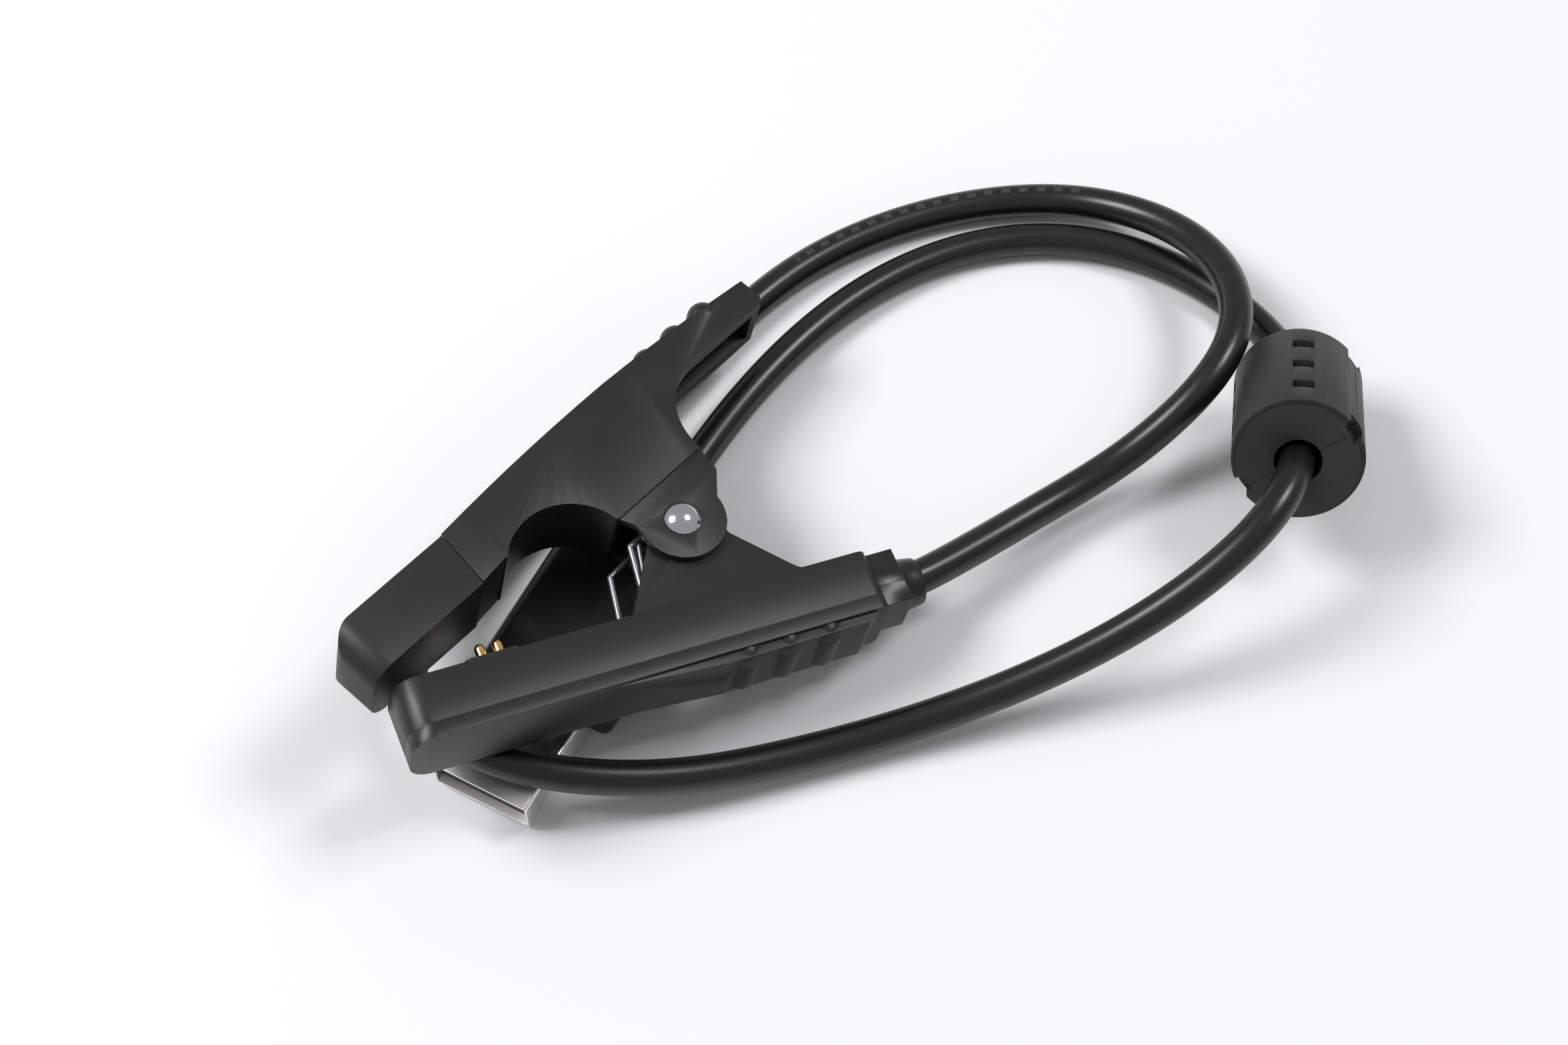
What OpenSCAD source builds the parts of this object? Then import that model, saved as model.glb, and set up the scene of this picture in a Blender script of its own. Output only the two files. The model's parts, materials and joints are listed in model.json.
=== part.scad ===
// USB charging clip lead: a spring clamp with four sprung contacts, a round cord with a
// clip-on ferrite bead, and a USB-A plug that lies under the clamp.
// Millimetres. The lead lies on the plane z = 0, with the plug flat on it and the clamp on top.

/* [Clamp pose] */
// Height of the pivot's middle above the table
pivot_z = 12.3; // [12:0.1:15]
// How far the jaws are tipped up, about the row's Y axis
lie_pitch = 9; // [7:0.5:10]
// How far the handle side is tipped up, about the row's X axis
lie_roll = 4.5; // [3.5:0.5:6]

/* [Contact arm] */
// Length of the contact arm from nose to tail
bar_len = 55.2; // [53:0.2:57]
// Width of the contact arm along the pivot pin
bar_w = 9; // [8:0.5:9.5]
// Thickness of the contact arm, case and cover together
bar_t = 7.3; // [7.1:0.1:7.6]
// Angle of the contact arm to the clamp's centre line
bar_angle = -8; // [-8.5:0.5:-7]
// Corner radius of the nose, seen from the jaw gap
nose_r = 3; // [1.5:0.5:3.5]

/* [Pressure arm] */
// Width of the pressure arm along the pivot pin
press_w = 9.6; // [9.4:0.2:10.4]
// Angle of the pressure arm to the clamp's centre line
press_angle = 19; // [17:0.5:21]
// Distance from the pivot to the handle's end
handle_len = 29.7; // [28:0.1:31]
// Distance from the pivot to the pressure arm's outer face
press_out = 17.9; // [17.6:0.1:18.2]
// Radius of the arch behind the jaw
arch_r = 7.3; // [6.9:0.1:7.5]
// Wider jaw head's width along the pivot pin
head_w = 10; // [9.8:0.2:11]

/* [Pivot] */
// Pivot pin diameter
pin_d = 3; // [2.4:0.1:3.2]
// Radius of the round lugs
lug_r = 5; // [4.8:0.1:5.2]

/* [Contacts] */
// Contact pin diameter
contact_d = 1.2; // [0.9:0.1:1.2]
// Spacing of the contacts along the arm
contact_pitch = 2; // [1.8:0.1:2.4]
// Spacing of the contacts across the arm
contact_gap = 4.4; // [3.6:0.1:4.4]
// Travel of a contact pin
contact_travel = 1.2; // [0.8:0.1:1.4]

/* [Cord] */
// Outer diameter of the cord
cord_d = 4; // [3.6:0.1:4.2]

/* [Ferrite bead] */
// Outer diameter of the bead's case
bead_d = 14.9; // [14.3:0.1:15]
// Length of the bead's case
bead_len = 20; // [18:0.5:20]

/* [Plug] */
// Width of the plug's overmould
grip_w = 16.4; // [15:0.2:16.8]
// Length of the overmould without its boot
grip_len = 19; // [17:0.5:20]
// Height of the overmould
grip_h = 6.8; // [6:0.2:7]

/* [Hidden] */
$fn = 48;

skin = 0.2;              // running gap between parts that move past each other
pivot_at = [10, 0, pivot_z];

// Contact arm, in its own frame: X along the arm, Y away from its outer face, Z along the pin
bar_in = -9.8;           // inner face, from the pivot
bar_out = bar_in - bar_t;
bar_tail = 18.2;         // tail end, from the pivot
bar_nose = bar_tail - bar_len;
cover_t = 1.7;           // thickness of the cover
wall = 0.9;              // wall of the case
tail_r = 1.2;            // corner radius at the tail
rib_r = 1.9;             // radius of the moulded grip ribs
rib_step = 4.8;          // spacing of the grip ribs
rib_reach = 3.2;         // half length of a rib along the pin

// Pivot stack, outwards from the middle: coil, ear of the contact arm, lug of the pressure arm
ear_in = 2.4;
ear_out = 3.3;
lug_in = ear_out + skin;
lug_out = 4.35;
pin_clear = 0.05;        // radial running clearance of the pin in the lugs
coil_r = 2.6;            // middle radius of the spring's coil
wire_d = 0.8;            // wire of the spring
HOOK_X = [-7.3, -9.85];  // where the spring's ends enter the contact arm
HOOK_Z = [1.8, -1.8];

// Contacts, in the contact arm's frame
contact_x = -25.3;       // middle of the contact group
block_top = bar_in + 0.9;
pin_proud = 1.7;         // how far a contact stands out of its block at rest
barrel_r = contact_d / 2 + 0.2;
barrel_len = 3.6;
barrel_floor = 0.4;
pin_hollow = 0.5;        // top of the hollow in a contact, above the block's face
spring_len = pin_hollow - contact_travel + barrel_len - barrel_floor - 0.3;
CONTACT_SPOTS = [for (i = [-1, 1], j = [1, -1]) [contact_x + i * contact_pitch / 2, j * contact_gap / 2]];

// Strain relief, in the contact arm's frame
relief_len = 5.8;
relief_axis = bar_in - 3.4;

// Plug, in its own frame: X from the mouth to the boot, Z up, origin under the overmould's middle
plug_at = [-2.3, -0.5, 0];
plug_angle = 31;
plug_z = grip_h / 2;
shell_w = 12;
shell_h = 4.5;
shell_t = 0.3;
shell_out = 14;          // length of shell outside the overmould
shell_in = 6;            // length of shell inside the overmould
mouth_x = -grip_len / 2 - shell_out;
boot_len = 9;
boot_r0 = 2.9;
boot_r1 = 2.5;
boot_end = grip_len / 2 + boot_len;

// Bead, in its own frame: X along the cord, Z up
bead_at = [79, -23.2, 11.8];
bead_tilt = 30.5;
bead_yaw = 48;
bead_split = -40;        // turn of the case's parting plane about the bead's axis
bead_wall = 1.6;
bead_hole = 2.7;         // radius of the hole in the case's ends
core_hole = 2.8;         // radius of the hole in the ferrite core
core_end = 1.5;          // end wall of the case
part_gap = 0.1;          // gap at the parting plane
SLOT_STEPS = [-5.3, 0, 5.3];

// Route of the cord, from the strain relief to the plug's boot. The cord follows the smooth
// curve (a uniform cubic B-spline) that these points pull.
CORD_ROUTE = [
    [27, -15.7, 8.35], [31, -16.3, 7.7], [39, -15.6, 6.2], [50, -14.4, 4.5], [61.5, -14.4, 5.4],
    [71.3, -14.4, 11.4], [80.4, -10.3, 12.6], [86.3, -0.6, 9.6], [86.2, 10.8, 5.9], [80.4, 21.2, 2.8],
    [70, 27.6, 2], [57.5, 30.9, 2], [44.5, 31.2, 2], [32, 27.8, 2], [19.5, 22.4, 2],
    [6.5, 18.8, 2.2], [-6, 15.8, 3.4], [-17.4, 11, 6.6], [-24.6, 2, 8.6], [-22.6, -9.4, 8.8],
    [-14, -17.6, 7.6], [-2.5, -22.9, 4.6], [10, -26.3, 3.1], [22.5, -29.6, 3.3], [35, -32.8, 6],
    [46.5, -35, 10], [56.5, -35.8, 14.6], [65, -34.8, 18], [71.7, -31.3, 18.4], [76.5, -26, 14.1],
    [81.4, -20.5, 9.9], [86.2, -15.1, 5.6], [88.8, -7, 2], [86.6, 3.4, 2], [80.4, 13.8, 2],
    [70, 21.4, 2], [57, 24.4, 2], [43, 23, 2], [30, 18.3, 2.2], [20, 12.9, 3.2], [10.5, 7.2, 3.4]
];
RINGS_PER_SPAN = 1.5;    // rings of the tube for each stretch between two points
TUBE_SIDES = 10;

// ---------------------------------------------------------------- placing
// Puts a piece given about the pivot, with the pin along Z, where the clamp lies.
module in_clip() { translate(pivot_at) rotate([lie_roll, lie_pitch, 0]) children(); }
module on_bar() { in_clip() rotate([0, 0, bar_angle]) children(); }
module on_press() { in_clip() rotate([0, 0, press_angle]) children(); }
module on_plug() { translate(plug_at) rotate([0, 0, plug_angle]) children(); }
module on_bead() { translate(bead_at) rotate([0, bead_tilt, bead_yaw]) children(); }
module on_split() { on_bead() rotate([bead_split, 0, 0]) children(); }

// ---------------------------------------------------------------- helpers
// Rectangle from x0 to x1 and y0 to y1 with round corners: r0 at x0, r1 at x1.
module rounded(x0, x1, y0, y1, r0, r1) {
    translate([x0 + r0, y0]) square([x1 - x0 - r0 - r1, y1 - y0]);
    translate([x0, y0 + r0]) square([r0, y1 - y0 - 2 * r0]);
    translate([x1 - r1, y0 + r1]) square([r1, y1 - y0 - 2 * r1]);
    for (y = [y0 + r0, y1 - r0]) translate([x0 + r0, y]) circle(r0);
    for (y = [y0 + r1, y1 - r1]) translate([x1 - r1, y]) circle(r1);
}

// Plate seen from the jaw gap: plan in X and Z, from y_top down by t.
module plate(x0, x1, half, y_top, t, r0, r1) {
    translate([0, y_top, 0]) rotate([90, 0, 0]) linear_extrude(t)
        rounded(x0, x1, -half, half, r0, r1);
}

// Shape drawn in X and Y, centred on the pin's direction.
module along_pin(w) { translate([0, 0, -w / 2]) linear_extrude(w) children(); }

// Grip ribs: half-round bars along the pin, on a face at height y.
module ribs(x0, y) {
    for (i = [0:2]) translate([x0 + i * rib_step, y, 0]) {
        translate([0, 0, -rib_reach + rib_r / 2]) cylinder(r = rib_r, h = 2 * rib_reach - rib_r);
        for (z = [-1, 1]) translate([0, 0, z * (rib_reach - rib_r / 2)]) sphere(rib_r);
    }
}

// ---------------------------------------------------------------- contact arm
// Outline of the ear that rises from the contact arm to the pivot.
module ear_outline() {
    foot_r = 4;
    foot_x = 12.9;
    circle(lug_r - 0.5);
    difference() {
        polygon([[-9.9, bar_in - 0.6], [-5.9, -3.6], [-4, -0.5], [0, 0], [3.2, 1], [4.75, -2.8],
                 [9.95, -8.5], [foot_x, -8.5], [foot_x, bar_in - 0.6]]);
        // round foot where the ear runs out on the arm
        translate([foot_x, bar_in + foot_r]) circle(foot_r);
    }
}

module contact_arm_case() {
    color([0.11, 0.115, 0.12]) on_bar() difference() {
        union() {
            plate(bar_nose, bar_tail, bar_w / 2, bar_in, bar_t - cover_t, nose_r, tail_r);
            for (z = [(ear_in + ear_out) / 2, -(ear_in + ear_out) / 2])
                translate([0, 0, z]) along_pin(ear_out - ear_in) ear_outline();
        }
        // room for the board and the leads, open towards the cover
        plate(bar_nose + 2.2, bar_tail - wall, bar_w / 2 - wall, bar_in - wall, bar_t, 1, 1);
        // window for the contact block
        plate(contact_x - 3.2, contact_x + 3.2, 3.25, bar_in + 1, bar_t - cover_t - 1, 0.8, 0.8);
        // seat of the pin
        cylinder(d = pin_d, h = 4 * ear_out, center = true);
        // way out for the cord
        translate([bar_tail - 3, relief_axis, 0]) rotate([0, 90, 0]) cylinder(d = cord_d, h = 6);
        // holes that the spring's ends hook into
        for (k = [0:1]) translate([HOOK_X[k], bar_in - 2, HOOK_Z[k]]) rotate([-90, 0, 0])
            cylinder(d = wire_d + 0.5, h = 3);
    }
}

module contact_arm_cover() {
    pad_t = 1;
    color([0.12, 0.125, 0.13]) on_bar() {
        difference() {
            plate(bar_nose, bar_tail, bar_w / 2, bar_out + cover_t, cover_t, nose_r, tail_r);
            translate([bar_tail - 3, relief_axis, 0]) rotate([0, 90, 0])
                cylinder(d = cord_d, h = 6);
        }
        // thumb pad, rising slowly from the middle of the arm
        along_pin(bar_w - 1.4) polygon([[-15, bar_out], [-1.5, bar_out - pad_t],
                                        [bar_tail - 2.8, bar_out - pad_t], [bar_tail - 1.4, bar_out]]);
        intersection() {
            ribs(1.2, bar_out - pad_t + 1.2);
            translate([-5, bar_out - 4, -bar_w]) cube([40, 4, 2 * bar_w]);
        }
    }
}

module contact_block() {
    color([0.09, 0.09, 0.095]) on_bar() difference() {
        union() {
            plate(contact_x - 3.1, contact_x + 3.1, 3.2, block_top, 2.2, 0.7, 0.7);
            plate(contact_x - 3.8, contact_x + 3.8, 3.5, bar_in - wall, 1, 0.7, 0.7);
        }
        for (p = CONTACT_SPOTS) translate([p[0], block_top - 4, p[1]]) rotate([-90, 0, 0])
            cylinder(r = barrel_r, h = 5);
    }
}

// The four barrels are one group of separate tubes.
module contact_barrels() {
    color([0.83, 0.66, 0.3]) on_bar()
        for (p = CONTACT_SPOTS) translate([p[0], block_top - barrel_len, p[1]]) rotate([-90, 0, 0])
            difference() {
                cylinder(r = barrel_r, h = barrel_len);
                translate([0, 0, barrel_floor]) cylinder(r = contact_d / 2 + 0.04, h = barrel_len);
            }
}

// Each contact spring is a plain sleeve, as long as the spring is at full travel.
module contact_springs() {
    color([0.7, 0.7, 0.7]) on_bar()
        for (p = CONTACT_SPOTS) translate([p[0], block_top - barrel_len + barrel_floor + 0.05, p[1]])
            rotate([-90, 0, 0]) difference() {
                cylinder(r = 0.36, h = spring_len);
                translate([0, 0, -1]) cylinder(r = 0.24, h = 4);
            }
}

module contact_pin(i) {
    p = CONTACT_SPOTS[i];
    color([0.9, 0.7, 0.32]) on_bar() translate([p[0], block_top, p[1]]) rotate([-90, 0, 0])
        difference() {
            union() {
                translate([0, 0, -1.8]) cylinder(d = contact_d, h = 1.8 + pin_proud - contact_d / 2);
                translate([0, 0, pin_proud - contact_d / 2]) sphere(d = contact_d);
            }
            // hollow that the spring stands in
            translate([0, 0, -2.8]) cylinder(r = 0.42, h = 2.8 + pin_hollow);
        }
}

module circuit_board() {
    color([0.1, 0.3, 0.15]) on_bar()
        plate(contact_x - 6.5, contact_x + 9, 3, block_top - barrel_len - 0.05, 0.8, 0.5, 0.5);
}

// One inner lead: from the board's edge to the cord's end in the tail.
module inner_lead(z, col) {
    color(col) on_bar() translate([contact_x + 9.1, relief_axis - 0.1, z]) rotate([0, 90, 0])
        cylinder(d = 1, h = bar_tail + 0.9 - contact_x - 9.1);
}
module inner_lead_red() { inner_lead(0.8, [0.7, 0.1, 0.08]); }
module inner_lead_black() { inner_lead(-0.8, [0.05, 0.05, 0.05]); }

// Moulded collar and short boot at the tail: a rounded block that steps down to the cord.
module strain_relief() {
    color([0.1, 0.1, 0.105]) on_bar() translate([bar_tail, relief_axis, 0]) rotate([0, 90, 0])
        difference() {
            union() {
                rotate_extrude() polygon([[0, 0], [3.3, 0], [3.3, 3.2], [3, 3.9], [2.7, relief_len],
                                          [0, relief_len]]);
                translate([0, 0, 1.7]) cube([6.2, 6.6, 3.4], center = true);
            }
            translate([0, 0, -1]) cylinder(d = cord_d, h = relief_len + 2);
        }
}

// ---------------------------------------------------------------- pressure arm
// Side view of the pressure arm in its own frame; the outer face is slightly convex.
module press_outline() {
    intersection() {
        difference() {
            union() {
                circle(lug_r);
                polygon([[-21.8, 9.6], [-20.6, 18.5], [handle_len, 18.5], [handle_len, 13.9],
                         [handle_len - 0.8, 13.1], [16.8, 13.1], [8.2, 4.5], [7.6, 1.6],
                         [5, -0.8], [3, -4], [-3.2, -3.8], [-4.9, 0.3], [-4.5, 3],
                         [-5.2, 4.7], [-18, 10]]);
            }
            translate([-12.9, 4.4]) circle(arch_r);
            translate([16.8, 4.5]) circle(8.6);
        }
        translate([4.6, press_out - 300]) circle(300, $fn = 720);
    }
}

module pressure_arm() {
    crease_y = 4.7;
    hollow = 2.3;
    color([0.115, 0.12, 0.125]) on_press() difference() {
        union() {
            intersection() {
                along_pin(press_w) press_outline();
                // narrower towards the handle's end
                translate([0, 20, 0]) rotate([90, 0, 0]) linear_extrude(30)
                    polygon([[-25, -press_w / 2], [6, -press_w / 2], [handle_len + 1, -3.6],
                             [handle_len + 1, 3.6], [6, press_w / 2], [-25, press_w / 2]]);
            }
            // tongue inside the jaw head
            translate([-33, 11.2, -3]) cube([13, 3, 6]);
            ribs(13.6, press_out - 1);
        }
        // lugs are set back from the arm's sides
        for (z = [-1, 1]) translate([0, 0, z * (lug_out + 2)])
            translate([-12, -8, -2]) cube([24, 8 + crease_y, 4]);
        // room between the lugs for the ears and the coil
        along_pin(2 * lug_in) {
            circle(7);
            translate([-1, -8]) square([10, 13]);
            translate([-9, -9]) square([10, 11]);
        }
        // hollow handle, open on its inner side
        translate([10.5, 0, -hollow]) cube([handle_len - 12.5, press_out - 2, 2 * hollow]);
        // bore of the pin
        cylinder(d = pin_d + 2 * pin_clear, h = 2 * press_w, center = true);
    }
}

module jaw_head() {
    x0 = -38.5;
    x1 = -20.9;
    y0 = 9.4;
    y1 = 16.6;
    front_r = 3.4;
    color([0.08, 0.08, 0.085]) on_press() difference() {
        intersection() {
            along_pin(head_w) union() {
                difference() {
                    polygon([[x0, y0], [x1 - 1.1, y0], [x1 - 0.1, y1], [x0, y1]]);
                    translate([x0 - 0.1, y1 - front_r]) square([front_r + 0.1, front_r + 0.1]);
                }
                translate([x0 + front_r, y1 - front_r]) circle(front_r);
            }
            plate(x0, x1, head_w / 2, y1 + 1, y1 - y0 + 2, nose_r, 0.3);
        }
        translate([-33.1, 11.1, -3.1]) cube([14, 3.2, 6.2]);
    }
}

// ---------------------------------------------------------------- pivot
// Shaft with a domed head, held fast in the ears of the contact arm.
module pivot_pin() {
    head_r = 2.1;
    color([0.75, 0.75, 0.74]) in_clip() {
        translate([0, 0, -lug_out - 0.35]) cylinder(d = pin_d, h = 2 * lug_out + 0.5);
        translate([0, 0, lug_out + 0.1]) intersection() {
            cylinder(r = head_r, h = 1);
            translate([0, 0, -1.7]) sphere(2.7);
        }
    }
}

// Flat push-on cap that keeps the pin's far end.
module pin_cap() {
    color([0.6, 0.6, 0.6]) in_clip() translate([0, 0, -lug_out - 0.35]) difference() {
        cylinder(r = 2.3, h = 0.25);
        translate([0, 0, -1]) cylinder(d = pin_d, h = 3);
    }
}

// Straight piece of the spring's wire between two points.
module wire(p, q, d = wire_d) {
    v = q - p;
    translate(p) rotate([0, acos(v[2] / norm(v)), atan2(v[1], v[0])]) cylinder(d = d, h = norm(v));
}

// The coil is a plain sleeve of the spring's size. Its two ends reach into the contact arm.
module torsion_spring() {
    near = HOOK_Z[0];
    far = HOOK_Z[1];
    color([0.5, 0.5, 0.5]) in_clip() {
        difference() {
            cylinder(r = coil_r + wire_d / 2, h = 4.5, center = true);
            cylinder(r = coil_r - wire_d / 2, h = 6, center = true);
        }
        wire([-2.3, 1.5, near], [-6.3, 0.35, near], wire_d + 0.06);
        wire([-6, 0.9, near], [-8.6, -8.9, near]);
        wire([-4.9, 1.1, near - 0.04], [-7.85, -7.1, near - 0.04], wire_d - 0.06);
        wire([-2.3, 1.5, far], [-8.8, -0.55, far], wire_d + 0.06);
        wire([-8.5, 0, far], [-11.2, -8.6, far]);
    }
}

// ---------------------------------------------------------------- cord
function bspline(p, t) =
    ((1 - t) * (1 - t) * (1 - t) * p[0] + (3 * t * t * t - 6 * t * t + 4) * p[1]
     + (-3 * t * t * t + 3 * t * t + 3 * t + 1) * p[2] + t * t * t * p[3]) / 6;
// The end points count three times, so the curve starts and ends on them.
CORD_HOLD = concat([CORD_ROUTE[0], CORD_ROUTE[0]], CORD_ROUTE,
                   [CORD_ROUTE[len(CORD_ROUTE) - 1], CORD_ROUTE[len(CORD_ROUTE) - 1]]);
function cord_point(s) =
    let (n = len(CORD_HOLD) - 3, i = min(floor(s), n - 1))
    bspline([for (k = [0:3]) CORD_HOLD[i + k]], s - i);
CORD_SPANS = len(CORD_HOLD) - 3;
CORD_RINGS = floor(CORD_SPANS * RINGS_PER_SPAN);

function unit(v) = v / norm(v);
function ring(c, d, r) =
    let (side = unit(cross([0, 0, 1], d)), top = cross(d, side))
    [for (k = [0:TUBE_SIDES - 1])
        c + r * (cos(360 * k / TUBE_SIDES) * side + sin(360 * k / TUBE_SIDES) * top)];

module cord() {
    r = cord_d / 2;
    steps = [for (k = [0:CORD_RINGS]) CORD_SPANS * k / CORD_RINGS];
    centres = [for (s = steps) cord_point(s)];
    n = len(centres);
    points = [for (k = [0:n - 1]) each
        ring(centres[k], unit(centres[min(k + 1, n - 1)] - centres[max(k - 1, 0)]), r)];
    m = TUBE_SIDES;
    color([0.05, 0.05, 0.052]) polyhedron(points, concat(
        [[for (j = [0:m - 1]) j]],
        [for (k = [0:n - 2], j = [0:m - 1])
            [k * m + j, (k + 1) * m + j, (k + 1) * m + (j + 1) % m, k * m + (j + 1) % m]],
        [[for (j = [m - 1:-1:0]) (n - 1) * m + j]]));
}

// ---------------------------------------------------------------- ferrite bead
// Case of the bead as a hollow barrel, drawn along X.
module bead_barrel() {
    rotate([0, 90, 0]) difference() {
        union() {
            cylinder(d = bead_d, h = bead_len - 1.2, center = true);
            cylinder(d = bead_d - 1.2, h = bead_len, center = true);
        }
        cylinder(r = bead_hole, h = bead_len + 2, center = true);
        cylinder(r = bead_d / 2 - bead_wall, h = bead_len - 2 * core_end, center = true);
    }
}

// A row of windows in the case's wall, at an angle round the bead.
module window_row(angle) {
    rotate([angle, 0, 0]) for (x = SLOT_STEPS)
        translate([x - 0.9, -1.2, bead_d / 2 - 1.2]) cube([1.8, 2.4, 3]);
}

module bead_half(side) {
    intersection() {
        on_split() difference() {
            bead_barrel();
            // hinge and latch notches at the parting plane
            for (x = [-1, 1], y = [-1, 1]) translate([x * bead_len / 2, y * bead_d / 2, 0])
                cube([5, 2.4, 2.6], center = true);
        }
        on_split() translate([-bead_len, -bead_d, side > 0 ? part_gap / 2 : -bead_d])
            cube([2 * bead_len, 2 * bead_d, bead_d - part_gap / 2]);
    }
}

module bead_case_cover() {
    color([0.16, 0.16, 0.165]) difference() {
        bead_half(1);
        on_bead() { window_row(-6); window_row(-94); }
    }
}

module bead_case_base() {
    color([0.16, 0.16, 0.165]) difference() {
        bead_half(-1);
        on_bead() { window_row(174); window_row(86); }
    }
}

module core_half(side) {
    core_r = bead_d / 2 - bead_wall - 0.1;
    color([0.2, 0.2, 0.21]) on_split() intersection() {
        rotate([0, 90, 0]) difference() {
            cylinder(r = core_r, h = bead_len - 2 * core_end - 0.2, center = true);
            cylinder(r = core_hole, h = bead_len, center = true);
        }
        translate([-bead_len, -bead_d, side > 0 ? part_gap / 2 : -bead_d])
            cube([2 * bead_len, 2 * bead_d, bead_d - part_gap / 2]);
    }
}
module bead_core_upper() { core_half(1); }
module bead_core_lower() { core_half(-1); }

// ---------------------------------------------------------------- plug
module plug_overmould() {
    color([0.1, 0.1, 0.105]) on_plug() difference() {
        union() {
            intersection() {
                linear_extrude(grip_h)
                    rounded(-grip_len / 2, grip_len / 2, -grip_w / 2, grip_w / 2, 1, 3.6);
                translate([-grip_len, 0, 0]) rotate([90, 0, 90]) linear_extrude(2 * grip_len)
                    rounded(-grip_w / 2, grip_w / 2, 0, grip_h, 1.6, 1.6);
            }
            translate([grip_len / 2 - 0.5, 0, plug_z]) rotate([0, 90, 0])
                cylinder(r1 = boot_r0, r2 = boot_r1, h = boot_len + 0.5);
        }
        // seat of the shell
        translate([-grip_len / 2 - 1, -shell_w / 2, plug_z - shell_h / 2])
            cube([shell_in + 1, shell_w, shell_h]);
        // bore of the cord, as deep as the wires' solder cups
        translate([boot_end - 8, 0, plug_z]) rotate([0, 90, 0]) cylinder(d = cord_d, h = 20);
    }
}

// Folded box of thin plate with two latch windows above and two below.
module plug_shell() {
    win = 2.5;
    color([0.8, 0.78, 0.74]) on_plug() translate([mouth_x, 0, plug_z]) difference() {
        translate([0, 0, 0]) rotate([90, 0, 90]) linear_extrude(shell_out + shell_in)
            rounded(-shell_w / 2, shell_w / 2, -shell_h / 2, shell_h / 2, 0.5, 0.5);
        translate([-1, -shell_w / 2 + shell_t, -shell_h / 2 + shell_t])
            cube([shell_out + shell_in + 2, shell_w - 2 * shell_t, shell_h - 2 * shell_t]);
        for (y = [-1, 1]) translate([9, y * 3 - win / 2, -shell_h])
            cube([win, win, 2 * shell_h]);
    }
}

// Insulating tongue with the block that fills the shell's back end.
module plug_tongue() {
    color([0.06, 0.06, 0.065]) on_plug() translate([mouth_x, 0, plug_z]) {
        translate([1, -5.6, -shell_h / 2 + shell_t + 0.05]) cube([shell_out + shell_in - 1.2, 11.2,
                                                                  1.8]);
        translate([shell_out - 2, -5.6, -shell_h / 2 + shell_t + 0.05])
            cube([shell_in + 1.8, 11.2, shell_h - 2 * shell_t - 0.1]);
    }
}

// Four flat contacts on the tongue, outer pair longer.
module plug_contacts() {
    color([0.85, 0.68, 0.3]) on_plug() translate([mouth_x, 0, plug_z])
        for (i = [0:3]) translate([i % 3 == 0 ? 2 : 3, -3.5 + 7 * i / 3 - 0.5,
                                   -shell_h / 2 + shell_t + 1.85])
            cube([shell_out - (i % 3 == 0 ? 4.1 : 5.1), 1, 0.15]);
}

contact_arm_case();
contact_arm_cover();
contact_block();
contact_barrels();
contact_springs();
contact_pin(0);  // contact_pin_1
contact_pin(1);  // contact_pin_2
contact_pin(2);  // contact_pin_3
contact_pin(3);  // contact_pin_4
circuit_board();
inner_lead_red();
inner_lead_black();
strain_relief();
pressure_arm();
jaw_head();
pivot_pin();
pin_cap();
torsion_spring();
cord();
bead_case_cover();
bead_case_base();
bead_core_upper();
bead_core_lower();
plug_overmould();
plug_shell();
plug_tongue();
plug_contacts();
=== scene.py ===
# %% [markdown]
# # A charging clip lead
# A spring clamp with four gold contacts lies on its side on a pale table, on top of its own USB
# plug. A round black cord leaves the clamp, loops through a clip-on ferrite bead and comes back
# to the plug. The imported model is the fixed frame: it gives every size and place, and this
# script only adds the finer shapes and the finishes.

import json
import math

import bmesh
import bpy
import numpy as np
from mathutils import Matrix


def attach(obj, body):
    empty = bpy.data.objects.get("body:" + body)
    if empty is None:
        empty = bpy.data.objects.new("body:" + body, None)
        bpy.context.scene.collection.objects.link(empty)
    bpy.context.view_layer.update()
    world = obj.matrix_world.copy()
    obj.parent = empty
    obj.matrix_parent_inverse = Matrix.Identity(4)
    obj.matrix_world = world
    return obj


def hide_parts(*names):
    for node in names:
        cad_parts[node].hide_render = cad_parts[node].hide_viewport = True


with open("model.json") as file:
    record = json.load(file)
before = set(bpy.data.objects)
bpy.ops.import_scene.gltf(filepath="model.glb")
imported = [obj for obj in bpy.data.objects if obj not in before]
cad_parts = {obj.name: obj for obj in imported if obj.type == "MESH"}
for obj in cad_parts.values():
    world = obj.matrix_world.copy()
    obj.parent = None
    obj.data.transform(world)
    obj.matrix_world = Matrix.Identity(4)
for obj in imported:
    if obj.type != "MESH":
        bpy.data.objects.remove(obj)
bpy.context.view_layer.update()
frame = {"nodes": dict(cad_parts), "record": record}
nodes = frame["nodes"]
MM = 0.001

# %% [markdown]
# ## Camera
# The camera looks down at sixty degrees from the table, from the jaws' side. A moderately long
# lens keeps the clamp's faces nearly parallel, as product pictures do.

# %% Camera
CAMERA_AT = (-0.05587, -0.13285, 0.27167)
CAMERA_TURN = (30, 0, -31)
camera_data = bpy.data.cameras.new("camera")
camera_data.lens = 61.22
camera_data.sensor_width = 36
camera = bpy.data.objects.new("camera", camera_data)
camera.location = CAMERA_AT
camera.rotation_euler = [math.radians(a) for a in CAMERA_TURN]
bpy.context.scene.collection.objects.link(camera)
bpy.context.scene.camera = camera
print("camera at", CAMERA_AT)

# %% [markdown]
# ## Helpers for surfaces
# A tube is the one new surface that this lead needs: the cord and the spring's wire are both a
# circle carried along a path. Working it out as whole arrays keeps it short and quick.


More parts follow.
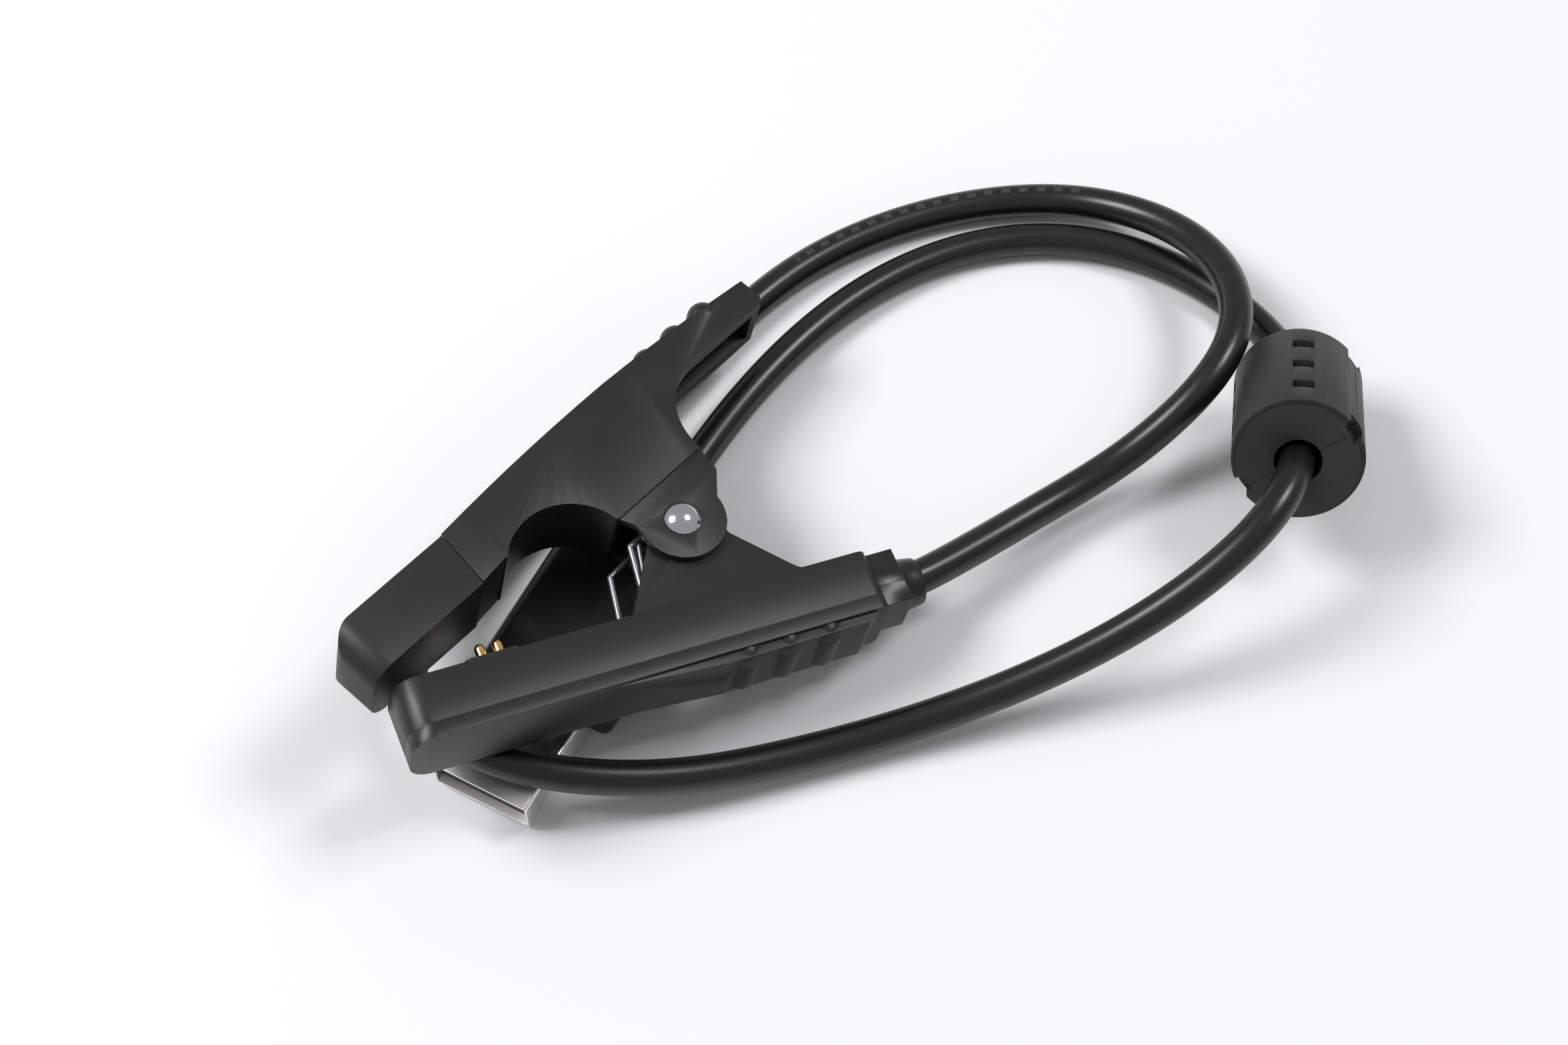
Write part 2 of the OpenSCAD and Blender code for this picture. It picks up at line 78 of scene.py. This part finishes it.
# %% Tube along a path
def tube(name, path, radius, sides, up):
    """Circle carried along a path: point = centre + radius * (cos a * side + sin a * top).

    side is up x tangent and top is tangent x side, so the circle stays square to the path.
    radius may be one number or one for each point. UV: u is the length so far in metres, v is
    the turn round the circle from 0 to 1.
    """
    path = np.asarray(path, float)
    tangent = np.gradient(path, axis=0)
    tangent /= np.linalg.norm(tangent, axis=1)[:, None]
    side = np.cross(np.asarray(up, float), tangent)
    side /= np.linalg.norm(side, axis=1)[:, None]
    top = np.cross(tangent, side)
    turn = np.arange(sides) * 2 * np.pi / sides
    r = np.broadcast_to(radius, len(path))[:, None, None]
    wall = path[:, None] + r * (
        np.cos(turn)[None, :, None] * side[:, None] + np.sin(turn)[None, :, None] * top[:, None]
    )
    verts = np.vstack([wall.reshape(-1, 3), path[:1], path[-1:]])
    n = len(path)
    i, j = np.meshgrid(np.arange(n - 1), np.arange(sides), indexing="ij")
    k = (j + 1) % sides
    quads = np.stack([i * sides + j, i * sides + k, (i + 1) * sides + k, (i + 1) * sides + j], -1)
    quads = quads.reshape(-1, 4)
    ring = np.arange(sides)
    after = (ring + 1) % sides
    first, last = n * sides, n * sides + 1
    start = np.stack([np.full(sides, first), after, ring], -1)
    end = np.stack([np.full(sides, last), (n - 1) * sides + ring, (n - 1) * sides + after], -1)
    mesh = bpy.data.meshes.new(name)
    mesh.from_pydata(verts.tolist(), [], quads.tolist() + start.tolist() + end.tolist())
    length = np.r_[0, np.cumsum(np.linalg.norm(np.diff(path, axis=0), axis=1))]
    u = np.stack([length[i], length[i], length[i + 1], length[i + 1]], -1).reshape(-1)
    v = np.stack([j, j + 1, j + 1, j], -1).reshape(-1) / sides
    uv = np.zeros((len(mesh.loops), 2))
    uv[: len(u), 0] = u
    uv[: len(v), 1] = v
    uv[len(u) : len(u) + 3 * sides, 0] = 0
    uv[len(u) + 3 * sides :, 0] = length[-1]
    mesh.uv_layers.new(name="along").data.foreach_set("uv", uv.reshape(-1))
    mesh.shade_smooth()
    piece = bpy.data.objects.new(name, mesh)
    bpy.context.scene.collection.objects.link(piece)
    print(name, "vertices", len(verts), "length", round(float(length[-1]), 4))
    return piece


# %% [markdown]
# ## The cord
# The cord is a fixed length of soft round cable. It leaves the clamp, turns back in a wide loop
# behind it, passes round the jaws and out through the bead, and comes back inside the first loop
# to the plug under the clamp. A
# smooth curve is pulled along by a few dozen points, the same ones that the model uses.

# %% Route of the cord, in metres
CORD_ROUTE = MM * np.array([
    [27, -15.7, 8.35], [31, -16.3, 7.7], [39, -15.6, 6.2], [50, -14.4, 4.5], [61.5, -14.4, 5.4],
    [71.3, -14.4, 11.4], [80.4, -10.3, 12.6], [86.3, -0.6, 9.6], [86.2, 10.8, 5.9],
    [80.4, 21.2, 2.8], [70, 27.6, 2], [57.5, 30.9, 2], [44.5, 31.2, 2], [32, 27.8, 2],
    [19.5, 22.4, 2], [6.5, 18.8, 2.2], [-6, 15.8, 3.4], [-17.4, 11, 6.6], [-24.6, 2, 8.6],
    [-22.6, -9.4, 8.8], [-14, -17.6, 7.6], [-2.5, -22.9, 4.6], [10, -26.3, 3.1],
    [22.5, -29.6, 3.3], [35, -32.8, 6], [46.5, -35, 10], [56.5, -35.8, 14.6], [65, -34.8, 18],
    [71.7, -31.3, 18.4], [76.5, -26, 14.1], [81.4, -20.5, 9.9], [86.2, -15.1, 5.6],
    [88.8, -7, 2], [86.6, 3.4, 2], [80.4, 13.8, 2], [70, 21.4, 2], [57, 24.4, 2], [43, 23, 2],
    [30, 18.3, 2.2], [20, 12.9, 3.2], [10.5, 7.2, 3.4],
])
CORD_D = 4 * MM
CORD_SIDES = 28
CORD_STEP = 0.5 * MM
CURVE_STEPS = 24


def bspline(points, steps):
    """Uniform cubic B-spline: each stretch is the weighted mean of four neighbours, with the
    cubic weights below. The end points count three times, so the curve starts and ends there."""
    held = np.vstack([points[:1], points[:1], points, points[-1:], points[-1:]])
    t = (np.arange(steps) / steps)[:, None, None]
    w = [(1 - t) ** 3, 3 * t**3 - 6 * t**2 + 4, -3 * t**3 + 3 * t**2 + 3 * t + 1, t**3]
    n = len(held) - 3
    curve = sum(w[k] * held[None, k : k + n] for k in range(4)) / 6
    return np.vstack([curve.transpose(1, 0, 2).reshape(-1, 3), points[-1:]])


def even(path, step):
    """The same path with points an equal length apart."""
    length = np.r_[0, np.cumsum(np.linalg.norm(np.diff(path, axis=0), axis=1))]
    at = np.linspace(0, length[-1], int(length[-1] / step) + 1)
    return np.stack([np.interp(at, length, path[:, k]) for k in range(3)], -1)


cord_path = even(bspline(CORD_ROUTE, CURVE_STEPS), CORD_STEP)
cord = tube("cord_jacket", cord_path, CORD_D / 2, CORD_SIDES, (0, 0, 1))
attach(cord, "contact_arm")
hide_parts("cord")

# %% [markdown]
# ## Rounded mouldings
# A moulded part has no knife edge: every edge carries a small radius that catches the light. The
# model's pieces have sharp edges, so each one that shows is copied, its flat faces are joined
# into single ones, and a bevel rounds what is left. The copy then stands for the model's piece.


# %% Material slot of each node
SLOT_OF = {row["node"]: row["material_slot"] for row in frame["record"]["subparts"]}
SHARP = math.radians(28)
FLAT = math.radians(0.6)
SAME_POINT = 2e-6
print("slots", len(set(SLOT_OF.values())))


# %% Rounded copy of a model piece
def moulded(node, radius, body, segments=3):
    """Copy of a node with every edge sharper than SHARP rounded to the radius."""
    bm = bmesh.new()
    bm.from_mesh(nodes[node].data)
    bmesh.ops.remove_doubles(bm, verts=bm.verts, dist=SAME_POINT)
    bmesh.ops.dissolve_limit(bm, angle_limit=FLAT, verts=bm.verts, edges=bm.edges)
    mesh = bpy.data.meshes.new(node + "_form")
    bm.to_mesh(mesh)
    bm.free()
    mesh.shade_smooth()
    piece = bpy.data.objects.new(node + "_form", mesh)
    bpy.context.scene.collection.objects.link(piece)
    bevel = piece.modifiers.new("edges", "BEVEL")
    bevel.width = radius
    bevel.segments = segments
    bevel.limit_method = "ANGLE"
    bevel.angle_limit = SHARP
    bevel.use_clamp_overlap = True
    bevel.harden_normals = True
    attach(piece, body)
    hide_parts(node)
    print(node, "rounded by", round(radius / MM, 2), "mm")
    return piece


EDGES = {
    "contact_arm_case": (0.3, "contact_arm"),
    "contact_arm_cover": (0.45, "contact_arm"),
    "contact_block": (0.25, "contact_arm"),
    "strain_relief": (0.3, "contact_arm"),
    "pressure_arm": (0.4, "pressure_arm"),
    "jaw_head": (0.9, "pressure_arm"),
    "bead_case_cover": (0.4, "contact_arm"),
    "bead_case_base": (0.4, "contact_arm"),
    "plug_overmould": (0.35, "contact_arm"),
    "plug_shell": (0.1, "contact_arm"),
}
forms = {node: moulded(node, r * MM, body) for node, (r, body) in EDGES.items()}

# %% [markdown]
# ## The torsion spring
# The model has a plain sleeve where the coil is. Here the real wire is wound: a helix between the
# lugs, with its ends running down into the contact arm and one doubled stroke beside them.

# %% Spring wire
PIVOT = MM * np.array([10, 0, 12.3])
ROLL, PITCH = math.radians(4.5), math.radians(9)
COIL_R, WIRE_R, HALF = 2.6 * MM, 0.39 * MM, 1.8 * MM
TURNS, FIRST_ANGLE, COIL_POINTS = 4.25, math.radians(150), 160
WIRE_STEP, STROKE_STEP, WIRE_SIDES = 0.15 * MM, 0.2 * MM, 14
turn_roll = np.array(
    [[1, 0, 0], [0, math.cos(ROLL), -math.sin(ROLL)], [0, math.sin(ROLL), math.cos(ROLL)]]
)
turn_pitch = np.array(
    [[math.cos(PITCH), 0, math.sin(PITCH)], [0, 1, 0], [-math.sin(PITCH), 0, math.cos(PITCH)]]
)
CLIP = turn_pitch @ turn_roll


def in_clip(points):
    """Points about the pivot, with the pin along Z, turned and moved to where the clamp lies."""
    return PIVOT + np.asarray(points, float) @ CLIP.T


angle = np.linspace(FIRST_ANGLE, FIRST_ANGLE + TURNS * 2 * np.pi, COIL_POINTS)
rise = np.linspace(-HALF, HALF, COIL_POINTS)
helix = np.stack([COIL_R * np.cos(angle), COIL_R * np.sin(angle), rise], -1)
far_leg = MM * np.array([[-11.2, -8.6, -1.8], [-9.6, -3.6, -1.8], [-8.6, -0.5, -1.8], [-5, 0.8, -1.8]])
near_leg = MM * np.array([[-4.4, 0.9, 1.8], [-6.1, 0.4, 1.8], [-7.2, -3.6, 1.8], [-8.6, -8.9, 1.8]])
wire_path = even(in_clip(np.vstack([far_leg, helix, near_leg])), WIRE_STEP)
spring = tube("torsion_spring_wire", wire_path, WIRE_R, WIRE_SIDES, CLIP[:, 2])
second = MM * np.array([[-2.5, 1.2, 1.5], [-4.9, 0.6, 1.5], [-5.8, -1.8, 1.5], [-7.85, -7, 1.5]])
stroke_path = even(in_clip(second), STROKE_STEP)
stroke = tube("torsion_spring_stroke", stroke_path, WIRE_R, WIRE_SIDES, CLIP[:, 2])
for piece in (spring, stroke):
    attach(piece, "contact_arm")
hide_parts("torsion_spring")

# %% [markdown]
# ## Pieces on the cord
# The bead clipped round the cord and the plug at its end are gathered in one list.

ON_CORD = ["bead_case_cover", "bead_case_base", "plug_overmould", "plug_shell"]
carried = [forms[n] for n in ON_CORD]
carried += [nodes[n] for n in ("bead_core_upper", "bead_core_lower", "plug_tongue", "plug_contacts")]

# %% [markdown]
# ## Finishes
# Every finish here is procedural. Moulded plastic is never one flat colour: a fine grain breaks
# up its gloss, and large faint clouds change its roughness. One node group makes that grain and
# each material places it with its own scale and depth.


# %% Node group: moulded grain
def grain_group():
    """Fine noise for bump height, and broad noise for roughness and for a tint mask."""
    group = bpy.data.node_groups.new("moulded_grain", "ShaderNodeTree")
    for name, value in (("Scale", 4000.0), ("Depth", 0.1), ("Rough", 0.5), ("Spread", 0.08)):
        socket = group.interface.new_socket(name, in_out="INPUT", socket_type="NodeSocketFloat")
        socket.default_value = value
    group.interface.new_socket("Height", in_out="OUTPUT", socket_type="NodeSocketFloat")
    group.interface.new_socket("Roughness", in_out="OUTPUT", socket_type="NodeSocketFloat")
    group.interface.new_socket("Mask", in_out="OUTPUT", socket_type="NodeSocketFloat")
    make, link = group.nodes.new, group.links.new
    given, out = make("NodeGroupInput"), make("NodeGroupOutput")
    place = make("ShaderNodeTexCoord")
    fine, broad = make("ShaderNodeTexNoise"), make("ShaderNodeTexNoise")
    fine.inputs["Detail"].default_value = 3
    broad.inputs["Scale"].default_value = 140
    broad.inputs["Detail"].default_value = 4
    height, centred, spread = make("ShaderNodeMath"), make("ShaderNodeMath"), make("ShaderNodeMath")
    rough = make("ShaderNodeMath")
    height.operation, centred.operation = "MULTIPLY", "SUBTRACT"
    spread.operation, rough.operation = "MULTIPLY", "ADD"
    centred.inputs[1].default_value = 0.5
    link(place.outputs["Object"], fine.inputs["Vector"])
    link(place.outputs["Object"], broad.inputs["Vector"])
    link(given.outputs["Scale"], fine.inputs["Scale"])
    link(fine.outputs["Fac"], height.inputs[0])
    link(given.outputs["Depth"], height.inputs[1])
    link(broad.outputs["Fac"], centred.inputs[0])
    link(centred.outputs[0], spread.inputs[0])
    link(given.outputs["Spread"], spread.inputs[1])
    link(given.outputs["Rough"], rough.inputs[0])
    link(spread.outputs[0], rough.inputs[1])
    link(height.outputs[0], out.inputs["Height"])
    link(rough.outputs[0], out.inputs["Roughness"])
    link(broad.outputs["Fac"], out.inputs["Mask"])
    return group


GRAIN = grain_group()
print("group", GRAIN.name, "sockets", len(GRAIN.interface.items_tree))


# %% Node group: pale marks printed along the cord
PRINT_TURN = 0.27
print("the marks run at", PRINT_TURN, "of a turn round the cord")


def marks_group():
    """Mask of short dashes: on where the length falls in the printed stretch, in the first part
    of each repeat, and within a narrow band round the cord."""
    group = bpy.data.node_groups.new("printed_dashes", "ShaderNodeTree")
    for name in ("Start", "End", "Step", "Band"):
        group.interface.new_socket(name, in_out="INPUT", socket_type="NodeSocketFloat")
    group.interface.new_socket("Mask", in_out="OUTPUT", socket_type="NodeSocketFloat")
    make, link = group.nodes.new, group.links.new
    given, out = make("NodeGroupInput"), make("NodeGroupOutput")
    uv, split = make("ShaderNodeUVMap"), make("ShaderNodeSeparateXYZ")
    uv.uv_map = "along"
    link(uv.outputs["UV"], split.inputs["Vector"])

    def math_node(operation, a, b):
        node = make("ShaderNodeMath")
        node.operation = operation
        for socket, value in zip(node.inputs, (a, b)):
            if isinstance(value, (int, float)):
                socket.default_value = value
            else:
                link(value, socket)
        return node.outputs[0]

    after = math_node("GREATER_THAN", split.outputs["X"], given.outputs["Start"])
    before = math_node("LESS_THAN", split.outputs["X"], given.outputs["End"])
    repeat = math_node("DIVIDE", split.outputs["X"], given.outputs["Step"])
    dash = math_node("LESS_THAN", math_node("FRACT", repeat, 0), 0.5)
    away = math_node("ABSOLUTE", math_node("SUBTRACT", split.outputs["Y"], PRINT_TURN), 0)
    band = math_node("LESS_THAN", away, given.outputs["Band"])
    printed = math_node("MULTIPLY", math_node("MULTIPLY", after, before), dash)
    link(math_node("MULTIPLY", printed, band), out.inputs["Mask"])
    return group


MARKS = marks_group()
print("group", MARKS.name)


# %% One material from the group
def finish(name, dark, light, rough, scale=5200.0, depth=0.12, spread=0.1, metallic=0.0, coat=0.0):
    """Colour runs between dark and light by the broad mask; fine noise makes the bump."""
    material = bpy.data.materials.new(name)
    material.use_nodes = True
    tree = material.node_tree
    make, link = tree.nodes.new, tree.links.new
    shader = tree.nodes["Principled BSDF"]
    grain, mix, bump = make("ShaderNodeGroup"), make("ShaderNodeMix"), make("ShaderNodeBump")
    grain.node_tree = GRAIN
    grain.inputs["Scale"].default_value = scale
    grain.inputs["Depth"].default_value = depth
    grain.inputs["Rough"].default_value = rough
    grain.inputs["Spread"].default_value = spread
    mix.data_type = "RGBA"
    mix.inputs["A"].default_value = (*dark, 1)
    mix.inputs["B"].default_value = (*light, 1)
    bump.inputs["Distance"].default_value = 0.0001
    bump.inputs["Strength"].default_value = 0.5
    link(grain.outputs["Mask"], mix.inputs["Factor"])
    link(mix.outputs["Result"], shader.inputs["Base Color"])
    link(grain.outputs["Roughness"], shader.inputs["Roughness"])
    link(grain.outputs["Height"], bump.inputs["Height"])
    link(bump.outputs["Normal"], shader.inputs["Normal"])
    shader.inputs["Metallic"].default_value = metallic
    shader.inputs["Coat Weight"].default_value = coat
    return material


def grey(value, warm=0.0):
    """Nearly neutral colour, a little blue or, with warm above 0, a little yellow."""
    return (value * (1 + warm), value, value * (1.06 - 2 * warm))


FINISHES = {
    "arm_plastic": finish("satin_arm_plastic", grey(0.0055), grey(0.009), 0.42, depth=0.3),
    "block_plastic": finish("block_plastic", grey(0.010), grey(0.015), 0.5),
    "head_rubber": finish("soft_head_rubber", grey(0.005), grey(0.008), 0.5, depth=0.2),
    "bead_plastic": finish("matte_bead_plastic", grey(0.011), grey(0.017), 0.55, depth=0.4),
    "ferrite": finish("sintered_ferrite", grey(0.03), grey(0.05), 0.7, depth=0.5),
    "nickel": finish("nickel_plate", grey(0.74, 0.03), grey(0.82, 0.03), 0.3, 900, 0.05, 0.12, 1.0),
    "gold": finish("gold_plate", (0.80, 0.50, 0.16), (0.90, 0.60, 0.24), 0.16, 2500, 0.04, 0.05, 1.0),
    "pin_steel": finish("polished_steel", grey(0.58), grey(0.66), 0.13, 2500, 0.03, 0.05, 1.0),
    "spring_steel": finish("drawn_wire", grey(0.28), grey(0.40), 0.34, 6000, 0.2, 0.15, 1.0),
    "board": finish("green_board", (0.01, 0.07, 0.02), (0.02, 0.10, 0.03), 0.4),
    "lead_red": finish("red_insulation", (0.35, 0.01, 0.01), (0.45, 0.02, 0.015), 0.45),
    "lead_black": finish("black_insulation", grey(0.01), grey(0.015), 0.45),
    "tongue_plastic": finish("black_tongue", grey(0.012), grey(0.018), 0.5),
    "cord_jacket": finish("soft_vinyl", grey(0.004), grey(0.007), 0.34, 3800, 0.12, 0.1),
}
print("finishes", len(FINISHES))


# %% [markdown]
# ## Printed cord
# The cord's jacket carries short pale marks along its outer loop. They are plain dashes, placed
# by the cord's own length, so they follow every bend.

# %% Jacket with dashes
jacket = finish("printed_jacket", grey(0.004), grey(0.007), 0.3, 3800, 0.12, 0.1)
jacket_tree = jacket.node_tree
dashes, ink = jacket_tree.nodes.new("ShaderNodeGroup"), jacket_tree.nodes.new("ShaderNodeMix")
dashes.node_tree = MARKS
PRINT_START, PRINT_END, PRINT_STEP = 0.090, 0.128, 0.0022
PRINT_BAND = 0.03
printing = {"Start": PRINT_START, "End": PRINT_END, "Step": PRINT_STEP, "Band": PRINT_BAND}
for socket, value in printing.items():
    dashes.inputs[socket].default_value = value
ink.data_type = "RGBA"
ink.inputs["B"].default_value = (0.035, 0.036, 0.038, 1)
jacket_shader = jacket_tree.nodes["Principled BSDF"]
jacket_tree.links.new(jacket_shader.inputs["Base Color"].links[0].from_socket, ink.inputs["A"])
jacket_tree.links.new(dashes.outputs["Mask"], ink.inputs["Factor"])
jacket_tree.links.new(ink.outputs["Result"], jacket_shader.inputs["Base Color"])
print("dashes from", PRINT_START, "to", PRINT_END, "m along the cord")

# %% Put the finishes on
for name, slot in SLOT_OF.items():
    node = nodes[name]
    if not node.material_slots:
        node.data.materials.append(None)
    for place in node.material_slots:
        place.material = FINISHES[slot]
for name, form in forms.items():
    form.data.materials.clear()
    form.data.materials.append(FINISHES[SLOT_OF[name]])
cord.data.materials.append(jacket)
for piece in (spring, stroke):
    piece.data.materials.append(FINISHES["spring_steel"])
print("finished", len(SLOT_OF), "nodes")

# %% [markdown]
# ## Table and light
# A near-white table, a large soft light from the upper left, a weaker one from the right and a
# pale surround. Two lights give the pin's dome its pair of round reflections.


# %% Table
def plane(name, half, z):
    """Flat square: x and y run from -half to half at height z."""
    corners = [(-half, -half, z), (half, -half, z), (half, half, z), (-half, half, z)]
    mesh = bpy.data.meshes.new(name)
    mesh.from_pydata(corners, [], [(0, 1, 2, 3)])
    piece = bpy.data.objects.new(name, mesh)
    bpy.context.scene.collection.objects.link(piece)
    return piece


TABLE_HALF = 3.0
TABLE_GREY = (0.74, 0.745, 0.76, 1)
table = plane("table", TABLE_HALF, 0.0)
table_paint = bpy.data.materials.new("pale_table")
table_paint.use_nodes = True
table_shader = table_paint.node_tree.nodes["Principled BSDF"]
table_shader.inputs["Base Color"].default_value = TABLE_GREY
table_shader.inputs["Roughness"].default_value = 0.75
table.data.materials.append(table_paint)


# %% Lights
def area_light(name, at, aim, size, power):
    """Square light at a point, turned so that its face looks at the aim."""
    data = bpy.data.lights.new(name, "AREA")
    data.size = size
    data.energy = power
    lamp = bpy.data.objects.new(name, data)
    lamp.location = at
    away = np.asarray(at, float) - np.asarray(aim, float)
    flat = math.hypot(away[0], away[1])
    lamp.rotation_euler = (math.atan2(flat, away[2]), 0, math.atan2(away[1], away[0]) + math.pi / 2)
    bpy.context.scene.collection.objects.link(lamp)
    return lamp


AIM = (0.03, 0, 0.01)
SURROUND = 0.42
area_light("key", (-0.45, 0.35, 0.75), AIM, 0.35, 7.0)
area_light("fill", (0.5, -0.1, 0.75), AIM, 0.25, 3.0)
world = bpy.data.worlds.new("surround")
world.use_nodes = True
world.node_tree.nodes["Background"].inputs["Color"].default_value = (1, 1, 1, 1)
world.node_tree.nodes["Background"].inputs["Strength"].default_value = SURROUND
bpy.context.scene.world = world
bpy.context.scene.view_settings.view_transform = "Standard"
print("lights ready")
